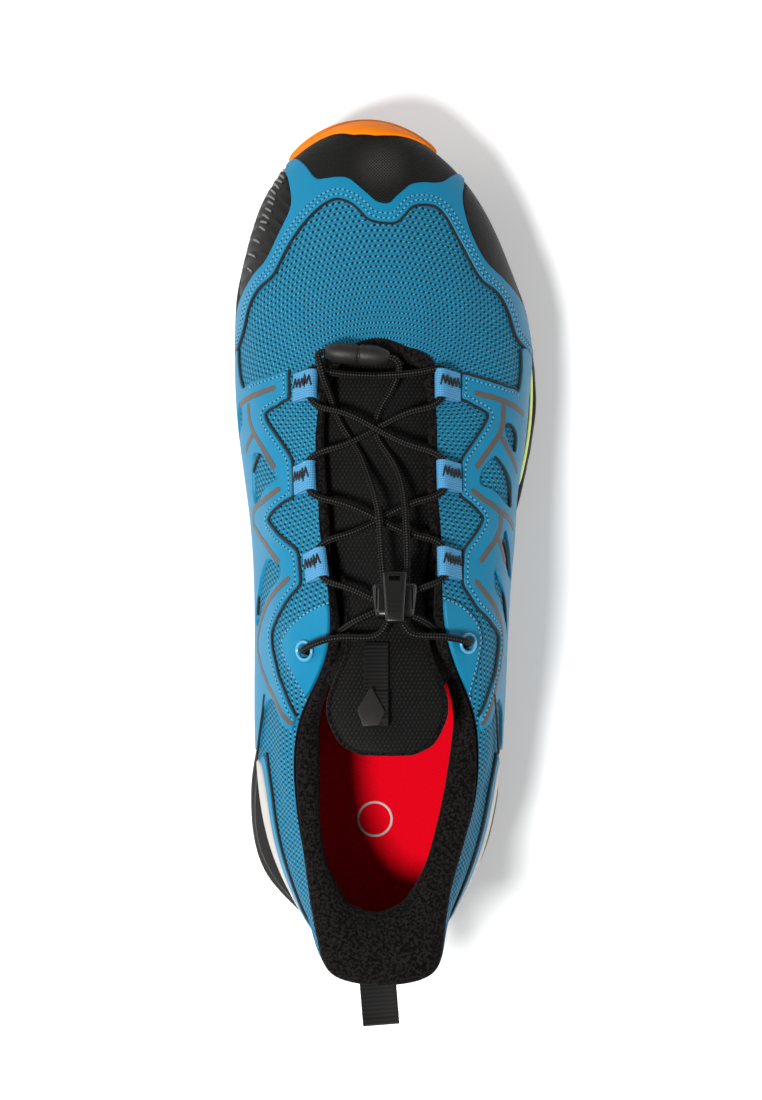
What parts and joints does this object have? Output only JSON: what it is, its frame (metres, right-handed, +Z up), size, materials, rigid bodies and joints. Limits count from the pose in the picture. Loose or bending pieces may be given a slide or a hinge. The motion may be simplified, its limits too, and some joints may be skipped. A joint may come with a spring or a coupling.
{
  "type": "hiking shoe",
  "caption": "Low hiking shoe for the right foot: blue mesh upper with bonded film cage, black toe cap, padded cuff, speed lace with toggle and lugged sole.",
  "frame": {"origin": "centre of the bounding box, on the floor that the sole stands on", "axes": "+Y from heel to toe, +X to the outer side of the right foot, +Z up"},
  "size_m": [0.1058, 0.3068, 0.1121],
  "materials": {
    "blue_mesh": "woven mesh",
    "blue_film": "smooth bonded film",
    "black_film": "textured bonded film",
    "white_film": "satin",
    "light_webbing": "woven webbing",
    "black_webbing": "ribbed webbing",
    "black_lining": "soft padded knit",
    "black_mesh": "padded mesh",
    "red_cloth": "fine cloth on foam",
    "black_foam": "matt foam",
    "lime_foam": "matt foam",
    "black_rubber": "matt rubber",
    "orange_rubber": "satin rubber",
    "black_cord": "braided cord",
    "black_plastic": "satin moulded plastic",
    "light_plastic": "gloss"
  },
  "bodies": {
    "root": {"outsole": "black_rubber", "midsole": "black_foam", "midsole_patch_lateral": "lime_foam", "midsole_patch_medial": "lime_foam", "insole": "red_cloth", "toe_bumper": "orange_rubber", "upper": "blue_mesh", "collar_cuff": "black_lining", "tongue": "black_mesh", "toe_cap": "black_film", "toe_frame": "blue_film", "rand_medial": "black_film", "rand_lateral": "black_film", "cage_medial": "blue_film", "cage_lateral": "blue_film", "eyestay_medial": "blue_film", "eyestay_lateral": "blue_film", "heel_band": "white_film", "heel_counter": "blue_film", "eyelet_medial": "light_plastic", "eyelet_lateral": "light_plastic", "lace_bar": "black_cord", "lace_cross_1": "black_cord", "lace_cross_2": "black_cord", "lace_cross_3": "black_cord", "lace_run_medial": "black_cord", "lace_run_lateral": "black_cord", "lace_tail_medial": "black_cord", "lace_tail_lateral": "black_cord", "cord_end": "black_plastic", "toggle_body": "black_plastic", "toggle_button": "black_plastic", "tongue_tab": "black_webbing", "heel_loop": "black_webbing", "lace_loop_medial_1": "light_webbing", "lace_loop_medial_2": "light_webbing", "lace_loop_medial_3": "light_webbing", "lace_loop_lateral_1": "light_webbing", "lace_loop_lateral_2": "light_webbing", "lace_loop_lateral_3": "light_webbing"}
  },
  "joints": []
}
